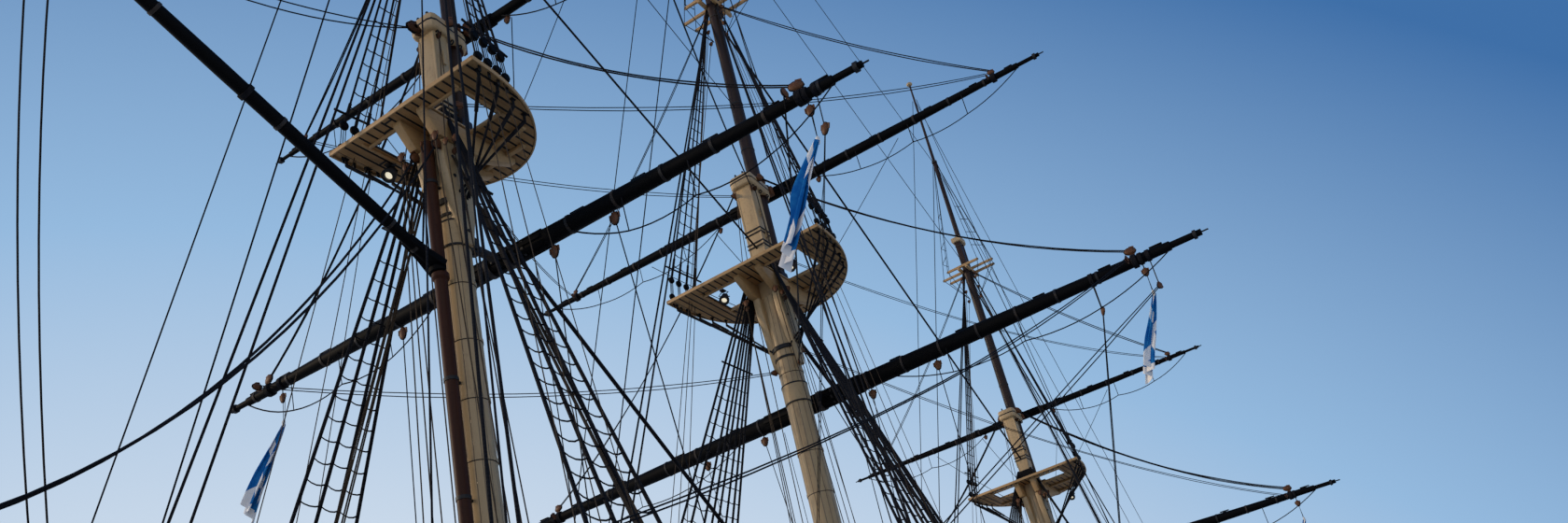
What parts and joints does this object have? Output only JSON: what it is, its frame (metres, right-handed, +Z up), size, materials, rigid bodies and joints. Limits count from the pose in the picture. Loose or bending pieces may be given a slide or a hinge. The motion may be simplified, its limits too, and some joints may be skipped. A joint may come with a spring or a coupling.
{
  "type": "1:2 scale model of a three-masted wooden sailing frigate",
  "caption": "Full-rigged wooden sailing ship with a painted hull, raked masts with tops and caps, lower and topsail yards that brace round, a spanker boom and gaff, and a working rudder.",
  "frame": {"origin": "on the waterline, under the point where the main mast's axis meets it, in the centre plane", "axes": "+X to the bow, +Y to port, +Z up"},
  "size_m": [36.2679, 11.5002, 23.8839],
  "materials": {
    "hull_paint": "black gloss paint with a cream band",
    "sheathing": "dull copper sheathing",
    "deck_planks": "scrubbed planks",
    "cream_paint": "satin cream paint",
    "top_boards": "worn cream boards",
    "dark_spar": "dark varnish",
    "black_spar": "black paint",
    "tarred_rope": "tarred",
    "deck_joinery": "varnished",
    "iron": "black",
    "flag_cloth": "woven bunting"
  },
  "bodies": {
    "ship": {"hull": "hull_paint", "upper_deck": "deck_planks", "bulwark_port": "hull_paint", "bulwark_starboard": "hull_paint", "taffrail": "hull_paint", "keel_and_stem": "sheathing", "mizzen_lower_mast": "cream_paint", "mizzen_top": "top_boards", "mizzen_cap": "cream_paint", "mizzen_topmast": "dark_spar", "mizzen_crosstrees": "dark_spar", "mizzen_topgallant_mast": "dark_spar", "main_lower_mast": "cream_paint", "main_top": "top_boards", "main_cap": "cream_paint", "main_topmast": "dark_spar", "main_crosstrees": "dark_spar", "main_topgallant_mast": "dark_spar", "fore_lower_mast": "cream_paint", "fore_top": "top_boards", "fore_cap": "cream_paint", "fore_topmast": "dark_spar", "fore_crosstrees": "dark_spar", "fore_topgallant_mast": "dark_spar", "trysail_mast": "dark_spar", "bowsprit": "cream_paint", "jib_boom": "dark_spar", "dolphin_striker": "black_spar", "fore_stay": "tarred_rope", "main_stay": "tarred_rope", "mizzen_stay": "tarred_rope", "fore_topmast_stay": "tarred_rope", "main_topmast_stay": "tarred_rope", "mizzen_topmast_stay": "tarred_rope", "wheel_stand": "deck_joinery", "capstan_base": "deck_joinery", "main_hatch": "deck_joinery", "skylight": "deck_joinery", "binnacle": "deck_joinery", "fore_bitts": "deck_joinery", "anchor_port": "iron", "anchor_starboard": "iron"},
    "rudder": {"rudder": "sheathing"},
    "steering_wheel": {"steering_wheel": "deck_joinery"},
    "capstan": {"capstan": "deck_joinery"},
    "spanker_gaff": {"spanker_gaff": "black_spar"},
    "spanker_boom": {"spanker_boom": "black_spar"},
    "crossjack_yard": {"crossjack_yard": "black_spar", "flag_mizzen_port": "flag_cloth", "flag_mizzen_starboard": "flag_cloth"},
    "mizzen_topsail_yard": {"mizzen_topsail_yard": "black_spar"},
    "main_yard": {"main_yard": "black_spar", "flag_main_port": "flag_cloth", "flag_main_starboard": "flag_cloth"},
    "main_topsail_yard": {"main_topsail_yard": "black_spar"},
    "fore_yard": {"fore_yard": "black_spar", "flag_fore_port": "flag_cloth", "flag_fore_starboard": "flag_cloth"},
    "fore_topsail_yard": {"fore_topsail_yard": "black_spar"}
  },
  "joints": [
    {"name": "rudder_turn", "type": "hinge", "parent": "ship", "child": "rudder", "pos_m": [-10.1, 0, -2.6], "axis": [-0.0947, 0, 0.9955], "range_deg": [-35, 35]},
    {"name": "wheel_turn", "type": "hinge", "parent": "ship", "child": "steering_wheel", "pos_m": [-8.7, 0, 2.67549], "axis": [1, 0, 0], "range_deg": [-420, 420]},
    {"name": "capstan_turn", "type": "hinge", "parent": "ship", "child": "capstan", "pos_m": [-3.8, 0, 2.14318], "axis": [0, 0, 1], "continuous": true},
    {"name": "crossjack_brace", "type": "hinge", "parent": "ship", "child": "crossjack_yard", "pos_m": [-6.47892, 0, 7.58201], "axis": [-0.0132, 0, 0.9999], "range_deg": [-30, 30]},
    {"name": "mizzen_topsail_brace", "type": "hinge", "parent": "ship", "child": "mizzen_topsail_yard", "pos_m": [-6.46676, 0, 10.43843], "axis": [-0.0132, 0, 0.9999], "range_deg": [-30, 30]},
    {"name": "main_brace", "type": "hinge", "parent": "ship", "child": "main_yard", "pos_m": [0.06343, 0, 7.83757], "axis": [-0.027, 0, 0.9996], "range_deg": [-30, 30]},
    {"name": "main_topsail_brace", "type": "hinge", "parent": "ship", "child": "main_topsail_yard", "pos_m": [0.05949, 0, 11.5023], "axis": [-0.027, 0, 0.9996], "range_deg": [-30, 30]},
    {"name": "fore_brace", "type": "hinge", "parent": "ship", "child": "fore_yard", "pos_m": [9.91441, 0, 6.92952], "axis": [-0.0279, 0, 0.9996], "range_deg": [-30, 30]},
    {"name": "fore_topsail_brace", "type": "hinge", "parent": "ship", "child": "fore_topsail_yard", "pos_m": [9.90909, 0, 10.39022], "axis": [-0.0279, 0, 0.9996], "range_deg": [-30, 30]},
    {"name": "gaff_swing", "type": "hinge", "parent": "ship", "child": "spanker_gaff", "pos_m": [-6.96306, 0, 7.13606], "axis": [-0.0132, 0, 0.9999], "range_deg": [-50, 50]},
    {"name": "boom_swing", "type": "hinge", "parent": "ship", "child": "spanker_boom", "pos_m": [-6.91484, 0, 3.49638], "axis": [-0.0132, 0, 0.9999], "range_deg": [-50, 50]}
  ],
  "couplings": [
    {"joint": "wheel_turn", "follows": "rudder_turn", "ratio": 12}
  ]
}
